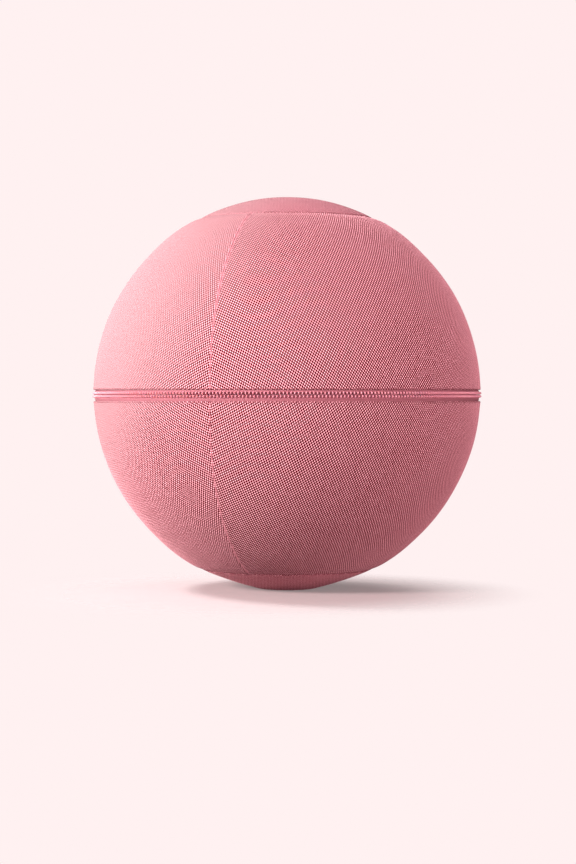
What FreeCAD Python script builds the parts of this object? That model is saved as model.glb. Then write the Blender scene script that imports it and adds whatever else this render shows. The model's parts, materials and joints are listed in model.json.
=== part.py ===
import FreeCAD, Part
import math
import os
import re
import Sketcher

# Exercise ball in a zipped mesh cover. Millimetres, +Z up, the floor at Z = 0, the front along -Y.
# Every profile is drawn as distance from the upright axis against height above the floor.

THIRD_OF_A_TURN = 120
TO_THE_FRONT = -90  # sub-parts are built on +X, and this turns them to face the front

DIMENSIONS = {
    # the closed cover, over its outer cloth surface
    "equator_height": 326.0,
    "belt_radius": 324.6,
    "cloth_thickness": 2.2,
    "upper_fold_rise": 8.2,
    "lower_fold_drop": 10.6,
    "upper_gore_bend": 326.4,
    "lower_gore_bend": 339.0,
    "upper_gore_end_radius": 145.6,
    "upper_gore_end_rise": 295.75,
    "lower_gore_end_radius": 144.7,
    "lower_gore_end_drop": 292.6,
    "upper_cap_edge_radius": 142.4,
    "upper_cap_edge_rise": 297.25,
    "lower_cap_edge_radius": 141.5,
    "lower_cap_edge_drop": 294.1,
    "crown_rise": 331.6,
    "lower_cap_bend": 640.0,
    "floor_patch_radius": 46.0,
    "seam_latitude": 64.0,
    "seam_proud": 0.7,
    "seam_width_angle": 0.36,
    "front_seam_turn": -22.0,
    # the welts round the two round caps
    "upper_welt_radius": 143.5,
    "upper_welt_rise": 295.5,
    "lower_welt_radius": 142.6,
    "lower_welt_drop": 292.35,
    "welt_thickness": 3.1,
    # the air-filled ball
    "ball_belt_radius": 319.4,
    "ball_wall": 0.8,
    "ball_shoulder_radius": 143.0,
    "ball_shoulder_rise": 290.6,
    "ball_hip_radius": 141.5,
    "ball_hip_drop": 288.4,
    "ball_crown_rise": 327.6,
    "ball_patch_radius": 44.0,
    "ball_floor_gap": 2.5,
    "ball_upper_bend": 321.4,
    "ball_lower_bend": 334.0,
    "ball_hip_bend": 636.0,
    # the valve, along its own axis from the centre of the ball
    "valve_latitude": 35.0,
    "valve_turn": 30.0,
    "valve_hole_radius": 12.0,
    "seat_face": 319.6,
    "seat_depth": 12.0,
    "seat_bore_radius": 4.1,
    "seat_recess_radius": 8.2,
    "seat_recess_depth": 2.4,
    "plug_stem_radius": 4.05,
    "plug_stem_end_radius": 3.2,
    "plug_head_radius": 7.6,
    "plug_head_thickness": 2.0,
    "plug_length": 16.0,
    # the zip
    "tape_outer_radius": 322.3,
    "tape_thickness": 0.7,
    "tape_depth": 19.0,
    "chain_gap": 1.15,
    "coil_outer_radius": 326.6,
    "coil_height": 3.9,
    "upper_chain_angle": 328.0,
    "lower_chain_angle": 339.2,
    "stop_turn": 170.2,
    "stop_angle": 0.7,
    "stop_inner_radius": 322.3,
    "stop_outer_radius": 327.3,
    "stop_height": 6.0,
    "join_angle": 16.8,
    "join_rise": 3.0,
    "join_proud": 0.2,
    # the slider and its pull
    "slider_turn": -167.5,
    "slider_angle": 3.8,
    "slider_half_width": 7.0,
    "flange_inner_half_width": 5.5,
    "flange_inner_radius": 322.8,
    "face_plate_inner_radius": 327.0,
    "face_plate_outer_radius": 328.4,
    "back_plate_inner_radius": 319.9,
    "back_plate_outer_radius": 321.2,
    "post_half_width": 0.8,
    "post_angle": 0.7,
    "post_turn": 1.3,
    "bridge_half_width": 1.5,
    "bridge_angle": 0.95,
    "bridge_outer_radius": 332.6,
    "pull_pin_radius": 0.8,
    "pull_bore_radius": 0.87,
    "pull_pivot_radius": 330.7,
    "pull_thickness": 1.5,
    "pull_width": 7.0,
    "pull_length": 26.0,
    "pull_fork_gap": 3.6,
    "pull_fork_depth": 5.0,
    "pull_tail_radius": 1.4,
    "pull_hole_radius": 1.8,
}

doc = FreeCAD.newDocument("exercise_ball")
sheet = doc.addObject("Spreadsheet::Sheet", "sheet")
for row, (alias, size) in enumerate(DIMENSIONS.items(), start=1):
    sheet.set(f"A{row}", alias)
    sheet.set(f"B{row}", str(size))
    sheet.setAlias(f"B{row}", alias)
doc.recompute()

nodes = []


def bound(text):
    """An expression on the sheet's aliases, written here without the sheet's name."""
    return re.sub(r"[a-z_]+", lambda m: f"sheet.{m[0]}" if m[0] in DIMENSIONS else m[0], text)


def number(text):
    """The value of such an expression now."""
    return float(sheet.evalExpression(bound(text)))


def keep(node, label):
    """Gives a finished sub-part its own name and counts it as one of the parts."""
    node.Label = label
    nodes.append(node)
    return node


def origin_plane(body, role):
    return next(f for f in body.Origin.OriginFeatures if f.Role == role)


def new_sketch(body, name, role="XZ_Plane"):
    sketch = body.newObject("Sketcher::SketchObject", name)
    sketch.AttachmentSupport = [(origin_plane(body, role), "")]
    sketch.MapMode = "FlatFace"
    return sketch


def new_body(name):
    return doc.addObject("PartDesign::Body", name)


def pin_down(sketch, geometry, end, across, up):
    """Holds one end of a line or arc at two expressions measured from the sketch's origin."""
    for kind, text in (("DistanceX", across), ("DistanceY", up)):
        if text == "0":
            axis = -2 if kind == "DistanceX" else -1
            sketch.addConstraint(Sketcher.Constraint("PointOnObject", geometry, end, axis))
            continue
        at = sketch.addConstraint(Sketcher.Constraint(kind, -1, 1, geometry, end, number(text)))
        sketch.setExpression(f"Constraints[{at}]", bound(text))


def arc_between(first, last, radius):
    """The anticlockwise arc from first to last, with its centre on its left."""
    (ax, ay), (bx, by) = first, last
    chord = math.hypot(bx - ax, by - ay)
    to_centre = math.sqrt(radius**2 - (chord / 2) ** 2)
    cx = (ax + bx) / 2 - to_centre * (by - ay) / chord
    cy = (ay + by) / 2 + to_centre * (bx - ax) / chord
    start = math.atan2(ay - cy, ax - cx)
    stop = math.atan2(by - cy, bx - cx)
    circle = Part.Circle(FreeCAD.Vector(cx, cy, 0), FreeCAD.Vector(0, 0, 1), radius)
    return Part.ArcOfCircle(circle, start, stop)


def radius_from_axis(first, last):
    """The radius of the arc through two points whose centre is on the upright axis."""
    (ax, ay), (bx, by) = first, last
    centre = (ax**2 + ay**2 - bx**2 - by**2) / (2 * (ay - by))
    return math.hypot(ax, ay - centre)


def outline(sketch, corners, bends=None):
    """A closed outline through the corners. bends maps an edge's number to its radius, or to
    None where its centre is on the upright axis, and to True where the outline runs the arc
    anticlockwise."""
    bends = bends or {}
    points = [(number(across), number(up)) for across, up in corners]
    count = len(corners)
    begins, ends = [], []
    for edge in range(count):
        here, there = points[edge], points[(edge + 1) % count]
        if edge not in bends:
            line = Part.LineSegment(FreeCAD.Vector(*here, 0), FreeCAD.Vector(*there, 0))
            geometry = sketch.addGeometry(line, False)
            begins.append((geometry, 1))
            ends.append((geometry, 2))
            continue
        radius, anticlockwise = bends[edge]
        pair = (here, there) if anticlockwise else (there, here)
        size = number(radius) if radius else radius_from_axis(*pair)
        geometry = sketch.addGeometry(arc_between(*pair, size), False)
        begins.append((geometry, 1 if anticlockwise else 2))
        ends.append((geometry, 2 if anticlockwise else 1))
        if radius:
            at = sketch.addConstraint(Sketcher.Constraint("Radius", geometry, size))
            sketch.setExpression(f"Constraints[{at}]", bound(radius))
        else:
            sketch.addConstraint(Sketcher.Constraint("PointOnObject", geometry, 3, -2))
    for edge in range(count):
        follows = (edge + 1) % count
        sketch.addConstraint(Sketcher.Constraint("Coincident", *ends[edge], *begins[follows]))
    for (geometry, end), (across, up) in zip(begins, corners):
        pin_down(sketch, geometry, end, across, up)


def revolve(body, sketch, angle="360"):
    """Turns a profile about the upright axis, half of the angle to each side of the sketch."""
    turned = body.newObject("PartDesign::Revolution", f"{sketch.Name}_turned")
    turned.Profile = sketch
    turned.ReferenceAxis = (sketch, ["V_Axis"])
    turned.Midplane = True
    turned.setExpression("Angle", bound(angle))
    return turned


def pad(body, sketch, length):
    grown = body.newObject("PartDesign::Pad", f"{sketch.Name}_pad")
    grown.Profile = sketch
    grown.Midplane = True
    grown.setExpression("Length", bound(length))
    return grown


def pocket(body, sketch, length):
    cut = body.newObject("PartDesign::Pocket", f"{sketch.Name}_cut")
    cut.Profile = sketch
    cut.Midplane = True
    cut.setExpression("Length", bound(length))
    return cut


def turn_to(node, turn):
    """Turns a sub-part built on +X to face the front and then by turn, seen from above."""
    angle = f"{turn} + {TO_THE_FRONT}"
    upright = FreeCAD.Rotation(FreeCAD.Vector(0, 0, 1), number(angle))
    node.Placement = FreeCAD.Placement(FreeCAD.Vector(0, 0, 0), upright)
    node.setExpression("Placement.Rotation.Angle", bound(angle))


def ring_part(label, corners, bends=None, angle="360", turn="0"):
    """A sub-part turned from one profile about the upright axis."""
    body = new_body(label)
    sketch = new_sketch(body, f"{label}_profile")
    outline(sketch, corners, bends)
    revolve(body, sketch, angle)
    turn_to(body, turn)
    return keep(body, label)


# ---- the air-filled ball and its valve ------------------------------------------------------

BALL_BENDS = ("ball_hip_bend", "ball_lower_bend", "ball_upper_bend")


def ball_outline(inset):
    """The ball's half outline from the floor patch to the crown, moved in by inset."""
    bends = {step: (f"{bend} - {inset}", True) for step, bend in enumerate(BALL_BENDS, start=1)}
    bends[4] = (None, True)
    corners = [
        ("0", f"ball_floor_gap + {inset}"),
        (f"ball_patch_radius - {inset}", f"ball_floor_gap + {inset}"),
        (f"ball_hip_radius - {inset} * 0.43", f"equator_height - ball_hip_drop + {inset} * 0.9"),
        (f"ball_belt_radius - {inset}", "equator_height"),
        (f"ball_shoulder_radius - {inset} * 0.43",
         f"equator_height + ball_shoulder_rise - {inset} * 0.9"),
        ("0", f"equator_height + ball_crown_rise - {inset}"),
    ]
    return corners, bends


def make_ball():
    shell = new_body("ball_shell")
    sketch = new_sketch(shell, "ball_shell_profile")
    outline(sketch, *ball_outline("0"))
    revolve(shell, sketch)
    hollow = new_sketch(shell, "ball_hollow_profile")
    outline(hollow, *ball_outline("ball_wall"))
    groove = shell.newObject("PartDesign::Groove", "ball_hollow_cut")
    groove.Profile = hollow
    groove.ReferenceAxis = (hollow, ["V_Axis"])
    groove.Midplane = True
    groove.Angle = 360
    hole = doc.addObject("Part::Cylinder", "valve_hole")
    hole.setExpression("Radius", bound("valve_hole_radius"))
    hole.setExpression("Height", bound("seat_depth + 10"))
    hole.Placement = valve_frame(number("seat_face - seat_depth"))
    ball = doc.addObject("Part::Cut", "inner_ball")
    ball.Base = shell
    ball.Tool = hole
    return keep(ball, "inner_ball")


def valve_frame(reach):
    """A placement with Z along the valve, its origin at reach from the ball's centre."""
    latitude = math.radians(number("valve_latitude"))
    turn = math.radians(number("valve_turn"))
    way = FreeCAD.Vector(
        math.cos(latitude) * math.sin(turn), -math.cos(latitude) * math.cos(turn), math.sin(latitude)
    )
    centre = FreeCAD.Vector(0, 0, number("equator_height"))
    return FreeCAD.Placement(centre + way * reach, FreeCAD.Rotation(FreeCAD.Vector(0, 0, 1), way))


def valve_part(label, corners):
    body = new_body(label)
    sketch = new_sketch(body, f"{label}_profile")
    outline(sketch, corners)
    revolve(body, sketch)
    body.Placement = valve_frame(0)
    return keep(body, label)


def make_valve():
    valve_part("valve_seat", [
        ("seat_bore_radius", "seat_face - seat_depth"),
        ("valve_hole_radius", "seat_face - seat_depth"),
        ("valve_hole_radius", "seat_face"),
        ("seat_recess_radius", "seat_face"),
        ("seat_recess_radius", "seat_face - seat_recess_depth"),
        ("seat_bore_radius", "seat_face - seat_recess_depth"),
    ])
    valve_part("valve_plug", [
        ("0", "seat_face - plug_length"),
        ("plug_stem_end_radius", "seat_face - plug_length"),
        ("plug_stem_radius", "seat_face - seat_depth"),
        ("plug_stem_radius", "seat_face - seat_recess_depth"),
        ("plug_head_radius", "seat_face - seat_recess_depth"),
        ("plug_head_radius", "seat_face - seat_recess_depth + plug_head_thickness"),
        ("0", "seat_face - seat_recess_depth + plug_head_thickness"),
    ])


# ---- the mesh cover ------------------------------------------------------------------------


def inward(across, up, side):
    """The inner corner opposite an outer corner at a cap seam. side is + above, - below."""
    lean = "cloth_thickness * cos(seam_latitude)"
    sink = "cloth_thickness * sin(seam_latitude)"
    back = "-" if side == "+" else "+"
    return (f"{across} - {lean}", f"{up} {back} {sink}")


def gore_outline(side, proud="0"):
    """A gore's profile, or with proud the profile of the seam that joins two gores."""
    if side == "+":
        fold = "equator_height + upper_fold_rise"
        end = ("upper_gore_end_radius", "equator_height + upper_gore_end_rise")
        bend = "upper_gore_bend"
    else:
        fold = "equator_height - lower_fold_drop"
        end = ("lower_gore_end_radius", "equator_height - lower_gore_end_drop")
        bend = "lower_gore_bend"
    outer_end = (f"{end[0]} + {proud} * cos(seam_latitude)",
                 f"{end[1]} {side} {proud} * sin(seam_latitude)")
    inner_end = inward(*end, side)
    outer_fold = (f"belt_radius + {proud}", fold)
    inner_fold = ("belt_radius - cloth_thickness", fold)
    corners = [outer_fold, outer_end, inner_end, inner_fold]
    if side == "-":
        corners = [outer_end, outer_fold, inner_fold, inner_end]
    return corners, {0: (bend, True), 2: (f"{bend} - cloth_thickness", False)}


def make_gores():
    for name, side in (("lower", "-"), ("upper", "+")):
        for index in range(3):
            turn = f"front_seam_turn + {THIRD_OF_A_TURN} * {index + 0.5}"
            angle = f"{THIRD_OF_A_TURN} - seam_width_angle"
            ring_part(f"{name}_gore_{index + 1}", *gore_outline(side), angle, turn)
        for index in range(3):
            turn = f"front_seam_turn + {THIRD_OF_A_TURN} * {index}"
            corners, bends = gore_outline(side, "seam_proud")
            ring_part(f"{name}_gore_seam_{index + 1}", corners, bends, "seam_width_angle", turn)


def make_caps():
    edge = ("upper_cap_edge_radius", "equator_height + upper_cap_edge_rise")
    crown = "equator_height + crown_rise"
    corners = [edge, ("0", crown), ("0", f"{crown} - cloth_thickness"), inward(*edge, "+")]
    ring_part("upper_cap", corners, {0: (None, True), 2: (None, False)})

    edge = ("lower_cap_edge_radius", "equator_height - lower_cap_edge_drop")
    inner_patch = "floor_patch_radius - cloth_thickness * 0.1"
    corners = [
        ("0", "0"), ("floor_patch_radius", "0"), edge, inward(*edge, "-"),
        (inner_patch, "cloth_thickness"), ("0", "cloth_thickness"),
    ]
    bends = {1: ("lower_cap_bend", True), 3: ("lower_cap_bend - cloth_thickness", False)}
    ring_part("lower_cap", corners, bends)


def make_welts():
    for name, rise in (("upper", "+ upper_welt_rise"), ("lower", "- lower_welt_drop")):
        welt = doc.addObject("Part::Torus", f"{name}_cap_welt")
        welt.setExpression("Radius1", bound(f"{name}_welt_radius"))
        welt.setExpression("Radius2", bound("welt_thickness / 2"))
        welt.Placement.Base = FreeCAD.Vector(0, 0, number(f"equator_height {rise}"))
        welt.setExpression("Placement.Base.z", bound(f"equator_height {rise}"))
        keep(welt, f"{name}_cap_welt")


# ---- the zip -------------------------------------------------------------------------------


def make_chain():
    for name, side in (("lower", "-"), ("upper", "+")):
        near = f"equator_height {side} chain_gap"
        deep = f"equator_height {side} tape_depth"
        far = f"equator_height {side} (chain_gap + coil_height)"
        inner = "tape_outer_radius - tape_thickness"
        # the far edge of the tape leans in with the cloth it is sewn to
        tape = [
            ("tape_outer_radius", near), ("tape_outer_radius - 0.5", deep),
            (f"{inner} - 0.5", deep), (inner, near),
        ]
        ring_part(f"{name}_zip_tape", tape, None, f"{name}_chain_angle")
        coil = [
            ("coil_outer_radius", near), ("coil_outer_radius", far),
            ("tape_outer_radius", far), ("tape_outer_radius", near),
        ]
        ring_part(f"{name}_zip_coil", coil, None, f"{name}_chain_angle")


def make_zip_ends():
    low = "equator_height - stop_height"
    high = "equator_height + stop_height * 0.5"
    stop = [
        ("stop_outer_radius", low), ("stop_outer_radius", high),
        ("stop_inner_radius", high), ("stop_inner_radius", low),
    ]
    for label, way in (("zip_top_stop", "-"), ("zip_bottom_stop", "")):
        ring_part(label, stop, None, "stop_angle", f"{way} stop_turn")
    low = "equator_height - lower_fold_drop + 0.3"
    high = "equator_height + join_rise"
    join = [
        ("belt_radius - join_proud", low), ("belt_radius - join_proud", high),
        ("tape_outer_radius", high), ("tape_outer_radius", low),
    ]
    ring_part("rear_join", join, None, "join_angle", "180")


def tilted_sketch(body, name, turn):
    """A profile sketch turned about the upright axis by an expression."""
    sketch = new_sketch(body, name)
    upright = FreeCAD.Rotation(FreeCAD.Vector(0, 1, 0), number(turn))
    sketch.AttachmentOffset = FreeCAD.Placement(FreeCAD.Vector(0, 0, 0), upright)
    sketch.setExpression("AttachmentOffset.Rotation.Angle", bound(turn))
    return sketch


def band(inner, outer, half_width):
    """A rectangular profile that straddles the equator."""
    low, high = f"equator_height - {half_width}", f"equator_height + {half_width}"
    return [(outer, low), (outer, high), (inner, high), (inner, low)]


def make_slider():
    body = new_body("zip_slider")
    post = tilted_sketch(body, "slider_post_profile", "post_turn")
    reach = ("back_plate_inner_radius + 0.4", "face_plate_outer_radius - 0.4")
    outline(post, band(*reach, "post_half_width"))
    revolve(body, post, "post_angle")
    back = new_sketch(body, "slider_back_profile")
    outline(back, band("back_plate_inner_radius", "back_plate_outer_radius", "slider_half_width"))
    revolve(body, back, "slider_angle")
    low, high = "equator_height - slider_half_width", "equator_height + slider_half_width"
    inner_low = "equator_height - flange_inner_half_width"
    inner_high = "equator_height + flange_inner_half_width"
    face = new_sketch(body, "slider_face_profile")
    outline(face, [
        ("flange_inner_radius", low), ("face_plate_outer_radius", low),
        ("face_plate_outer_radius", high), ("flange_inner_radius", high),
        ("flange_inner_radius", inner_high), ("face_plate_inner_radius", inner_high),
        ("face_plate_inner_radius", inner_low), ("flange_inner_radius", inner_low),
    ])
    revolve(body, face, "slider_angle")
    bridge = new_sketch(body, "slider_bridge_profile")
    foot = "face_plate_outer_radius - 0.5"
    outline(bridge, band(foot, "bridge_outer_radius", "bridge_half_width"))
    revolve(body, bridge, "bridge_angle")
    bore = level_sketch(body, "slider_bore")
    circle_at(bore, "pull_pivot_radius", "0", "pull_bore_radius")
    pocket(body, bore, "bridge_half_width * 2 + 1")
    turn_to(body, "slider_turn")
    return keep(body, "zip_slider")


def level_sketch(body, name):
    """A sketch on the level plane through the equator."""
    sketch = new_sketch(body, name, "XY_Plane")
    sketch.AttachmentOffset.Base.z = number("equator_height")
    sketch.setExpression("AttachmentOffset.Base.z", bound("equator_height"))
    return sketch


def circle_at(sketch, across, up, radius):
    middle = FreeCAD.Vector(number(across), number(up), 0)
    circle = Part.Circle(middle, FreeCAD.Vector(0, 0, 1), number(radius))
    geometry = sketch.addGeometry(circle, False)
    pin_down(sketch, geometry, 3, across, up)
    at = sketch.addConstraint(Sketcher.Constraint("Radius", geometry, number(radius)))
    sketch.setExpression(f"Constraints[{at}]", bound(radius))


def make_pull_tab():
    body = new_body("pull_tab")
    outer = "pull_pivot_radius + pull_thickness / 2"
    inner = "pull_pivot_radius - pull_thickness / 2"
    # the plate starts at the pivot, and a round tail closes it behind
    plate = level_sketch(body, "pull_plate")
    outline(plate, [(inner, "0"), (outer, "0"), (outer, "pull_length"), (inner, "pull_length")])
    pad(body, plate, "pull_width")
    tail = level_sketch(body, "pull_tail_round")
    circle_at(tail, "pull_pivot_radius", "0", "pull_tail_radius")
    pad(body, tail, "pull_width")
    tip = new_sketch(body, "pull_tip_hole", "YZ_Plane")
    tip.AttachmentOffset.Base.z = number("pull_pivot_radius")
    tip.setExpression("AttachmentOffset.Base.z", bound("pull_pivot_radius"))
    circle_at(tip, "pull_length - pull_hole_radius * 2.2", "equator_height", "pull_hole_radius")
    pocket(body, tip, "pull_thickness * 2")
    fork = level_sketch(body, "pull_fork")
    circle_at(fork, "pull_pivot_radius", "0", "pull_fork_depth")
    pocket(body, fork, "pull_fork_gap")
    pin = level_sketch(body, "pull_pin")
    circle_at(pin, "pull_pivot_radius", "0", "pull_pin_radius")
    pad(body, pin, "pull_width - 0.2")
    turn_to(body, "slider_turn")
    return keep(body, "pull_tab")


def write_parts():
    doc.recompute()
    for thing in doc.Objects:
        if "Invalid" in thing.State or "Error" in thing.State:
            raise RuntimeError(f"{thing.Label} didn't build: {thing.State}")
    os.makedirs("parts", exist_ok=True)
    for node in nodes:
        if node.Shape.isNull() or not node.Shape.isValid():
            raise RuntimeError(f"{node.Label} has no valid shape")
        node.Shape.exportStep(f"parts/{node.Label}.step")
        print(node.Label, len(node.Shape.Solids), round(node.Shape.Volume / 1000, 2), "cm3")


make_ball()
make_valve()
make_gores()
make_caps()
make_welts()
make_chain()
make_zip_ends()
make_slider()
make_pull_tab()
write_parts()
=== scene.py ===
import json
import math

import bmesh
import bpy
import numpy as np
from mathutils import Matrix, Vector

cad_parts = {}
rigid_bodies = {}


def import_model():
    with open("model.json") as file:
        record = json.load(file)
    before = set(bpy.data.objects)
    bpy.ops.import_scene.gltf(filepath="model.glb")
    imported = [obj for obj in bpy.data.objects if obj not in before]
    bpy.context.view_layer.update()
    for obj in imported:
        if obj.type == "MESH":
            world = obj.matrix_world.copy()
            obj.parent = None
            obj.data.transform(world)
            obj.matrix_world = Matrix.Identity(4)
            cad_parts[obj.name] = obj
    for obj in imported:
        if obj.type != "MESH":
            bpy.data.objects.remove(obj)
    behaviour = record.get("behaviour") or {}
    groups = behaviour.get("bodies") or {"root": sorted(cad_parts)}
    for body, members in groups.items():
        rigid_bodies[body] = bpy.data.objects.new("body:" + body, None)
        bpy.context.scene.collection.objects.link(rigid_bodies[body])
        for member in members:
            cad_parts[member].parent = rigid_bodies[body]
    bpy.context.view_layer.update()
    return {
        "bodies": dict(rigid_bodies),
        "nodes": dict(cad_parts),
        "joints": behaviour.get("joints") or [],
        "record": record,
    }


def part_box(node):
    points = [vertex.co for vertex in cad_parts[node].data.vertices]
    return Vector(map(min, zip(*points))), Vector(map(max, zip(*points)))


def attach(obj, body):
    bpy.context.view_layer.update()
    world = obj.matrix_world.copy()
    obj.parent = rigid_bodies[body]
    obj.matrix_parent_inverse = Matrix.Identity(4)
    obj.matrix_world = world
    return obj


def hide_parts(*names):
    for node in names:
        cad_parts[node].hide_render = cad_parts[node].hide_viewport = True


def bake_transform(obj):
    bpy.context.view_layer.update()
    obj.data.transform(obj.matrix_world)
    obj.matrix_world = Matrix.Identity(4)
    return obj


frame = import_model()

# An exercise ball in a zipped cover of airy mesh. Metres, +Z up, the floor at z = 0, front -Y.
# A turn is an angle about the upright axis in degrees, 0 at the front, growing towards +X.

MM = 0.001

# ---- places read from the frame ------------------------------------------------------------

LOWER_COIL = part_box("lower_zip_coil")
UPPER_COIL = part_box("upper_zip_coil")
EQUATOR = (LOWER_COIL[1].z + UPPER_COIL[0].z) / 2
COIL_RADIUS = LOWER_COIL[1].x
BELT_RADIUS = -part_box("lower_gore_1")[0].y
TAPE_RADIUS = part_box("lower_zip_tape")[1].x
TAPE_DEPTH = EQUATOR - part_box("lower_zip_tape")[0].z
UPPER_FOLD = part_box("upper_gore_1")[0].z
LOWER_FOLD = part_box("lower_gore_1")[1].z
UPPER_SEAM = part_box("upper_gore_1")[1].z
LOWER_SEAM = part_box("lower_gore_1")[0].z
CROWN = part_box("upper_cap")[1].z
UPPER_CAP_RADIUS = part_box("upper_cap")[1].x
LOWER_CAP_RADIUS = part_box("lower_cap")[1].x
CAP_SEAM_GAP = 3.2 * MM  # between a cap's edge and the ends of the gores, along the radius
BALL_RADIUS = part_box("inner_ball")[1].x
BALL_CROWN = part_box("inner_ball")[1].z

# ---- the cover's cut -----------------------------------------------------------------------

UPPER_BEND = 326.4 * MM
LOWER_BEND = 339.0 * MM
LOWER_CAP_BEND = 640 * MM
FLOOR_PATCH = 46 * MM
GORES = 3
HALF_GORE = 180 / GORES
FRONT_SEAM = -22.0
SEAM_OFFSET = 0.4  # degrees that the seams are off their place at the zip
SEAM_DRIFT = {1: (-1.4, 1.8), -1: (-3.2, 1.4)}  # side: degrees by the cap, and how late they come
CONE = 0.454  # the share of a turn that a gore covers when it is laid flat
CONE_APEX = 0.791  # from the equator to the apex of the flat gore
HOLE_ACROSS = 4.9 * MM
HOLE_UP = 5.95 * MM
PIT_DEPTH = 2.0 * MM
LIP = 0.70  # how much of the way from a hole's middle to the crossings its lip is
LIP_DEPTH = 0.65 * MM
CLOTH = 2.0 * MM
EDGE_FADE = 1.6 * MM  # how near an edge the holes run out
BELLY = {1: 1.9 * MM, -1: 1.0 * MM}  # side: how far a gore swells under its cap seam
SEAM_DIP, SEAM_PUFF = 0.5 * MM, 0.35 * MM  # the cloth at a gore's seams, and beside them
FOLD_DIP, FOLD_PUFF = 0.6 * MM, 0.35 * MM  # the same at the fold by the zip
GORE_END_DIP, CAP_EDGE_DIP = 0.9 * MM, 0.5 * MM  # at the seam between them
CAP_SEAM_REACH = 6 * MM


def smooth(x):
    x = np.clip(x, 0, 1)
    return x * x * (3 - 2 * x)


def bell(x, width):
    return np.exp(-((x / width) ** 2))


class Meridian:
    """A gore's profile: the arc of a bend radius between its fold by the zip and its cap seam."""

    def __init__(self, side, fold, end, bend):
        self.side = side
        self.bend = bend
        (ax, ay), (bx, by) = fold, end
        chord = math.hypot(bx - ax, by - ay)
        reach = math.sqrt(bend**2 - (chord / 2) ** 2)
        self.cx = (ax + bx) / 2 - reach * (by - ay) / chord
        self.cy = (ay + by) / 2 + reach * (bx - ax) / chord
        self.start = math.atan2(ay - self.cy, ax - self.cx)
        self.length = bend * (math.atan2(by - self.cy, bx - self.cx) - self.start)
        self.fold = ay

    def at(self, s):
        """Radius, rise above the equator and outward normal, s along the cloth from the fold."""
        angle = self.start + s / self.bend
        across, up = np.cos(angle), np.sin(angle)
        radius, rise = self.cx + self.bend * across, self.cy + self.bend * up
        return radius, rise, across, up


def gore_meridian(side):
    """The profile of the gores above the zip, side 1, or below it, side -1."""
    cap, seam, fold, bend = {1: (UPPER_CAP_RADIUS, UPPER_SEAM, UPPER_FOLD, UPPER_BEND),
                             -1: (LOWER_CAP_RADIUS, LOWER_SEAM, LOWER_FOLD, LOWER_BEND)}[side]
    end = (cap + CAP_SEAM_GAP, side * (seam - EQUATOR))
    return Meridian(side, (BELT_RADIUS, side * (fold - EQUATOR)), end, bend)


def drift(side, rise):
    """How far the cloth is twisted at a rise from the equator, in degrees."""
    share = np.clip(np.abs(rise) / (UPPER_SEAM - EQUATOR), 0, 1)
    reach, bend = SEAM_DRIFT[side]
    return SEAM_OFFSET + reach * share**bend


def place(radius, turn, z):
    """Points at a radius, a turn in degrees and a height."""
    a = np.radians(turn)
    return np.stack([radius * np.sin(a), -radius * np.cos(a), z + 0 * a], axis=-1)


# ---- making meshes -------------------------------------------------------------------------


def add_object(name, data):
    item = bpy.data.objects.new(name, data)
    bpy.context.collection.objects.link(item)
    return item


def make_mesh(name, points, faces, uv, shade_smooth=True):
    """A mesh object from arrays: faces all have as many corners, and uv is one pair a point."""
    points, faces = np.asarray(points, np.float32), np.asarray(faces, np.int32)
    mesh = bpy.data.meshes.new(name)
    corners = faces.shape[1]
    mesh.vertices.add(len(points))
    mesh.vertices.foreach_set("co", points.ravel())
    mesh.loops.add(faces.size)
    mesh.loops.foreach_set("vertex_index", faces.ravel())
    mesh.polygons.add(len(faces))
    mesh.polygons.foreach_set("loop_start", np.arange(0, faces.size, corners, dtype=np.int32))
    mesh.polygons.foreach_set("use_smooth", np.broadcast_to(shade_smooth, len(faces)).copy())
    mesh.update(calc_edges=True)
    layer = mesh.uv_layers.new(name="cloth")
    layer.data.foreach_set("uv", np.asarray(uv, np.float32)[faces.ravel()].ravel())
    mesh.validate()
    return add_object(name, mesh)


def make_piece(name, body, points, faces, uv, shade_smooth=True):
    """A mesh object that moves with a body."""
    piece = make_mesh(name, points, faces, uv, shade_smooth)
    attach(piece, body)
    return piece


def grid_faces(rows, columns, round_rows=False, round_columns=True, flip=False):
    """Quads between points that lie in rows. Rows and columns may close on themselves."""
    i, j = np.meshgrid(np.arange(rows - (not round_rows)), np.arange(columns - (not round_columns)),
                       indexing="ij")
    a, b = (i * columns + j).ravel(), (i * columns + (j + 1) % columns).ravel()
    c, d = (b + columns) % (rows * columns), (a + columns) % (rows * columns)
    return np.stack([a, d, c, b] if flip else [a, b, c, d], 1)


def open_edges(faces):
    """The edges that only one triangle uses, each as that triangle runs it."""
    edges = np.concatenate([faces[:, [0, 1]], faces[:, [1, 2]], faces[:, [2, 0]]])
    order = np.sort(edges, axis=1)
    _, index, uses = np.unique(order, axis=0, return_index=True, return_counts=True)
    return edges[index[uses == 1]]


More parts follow.
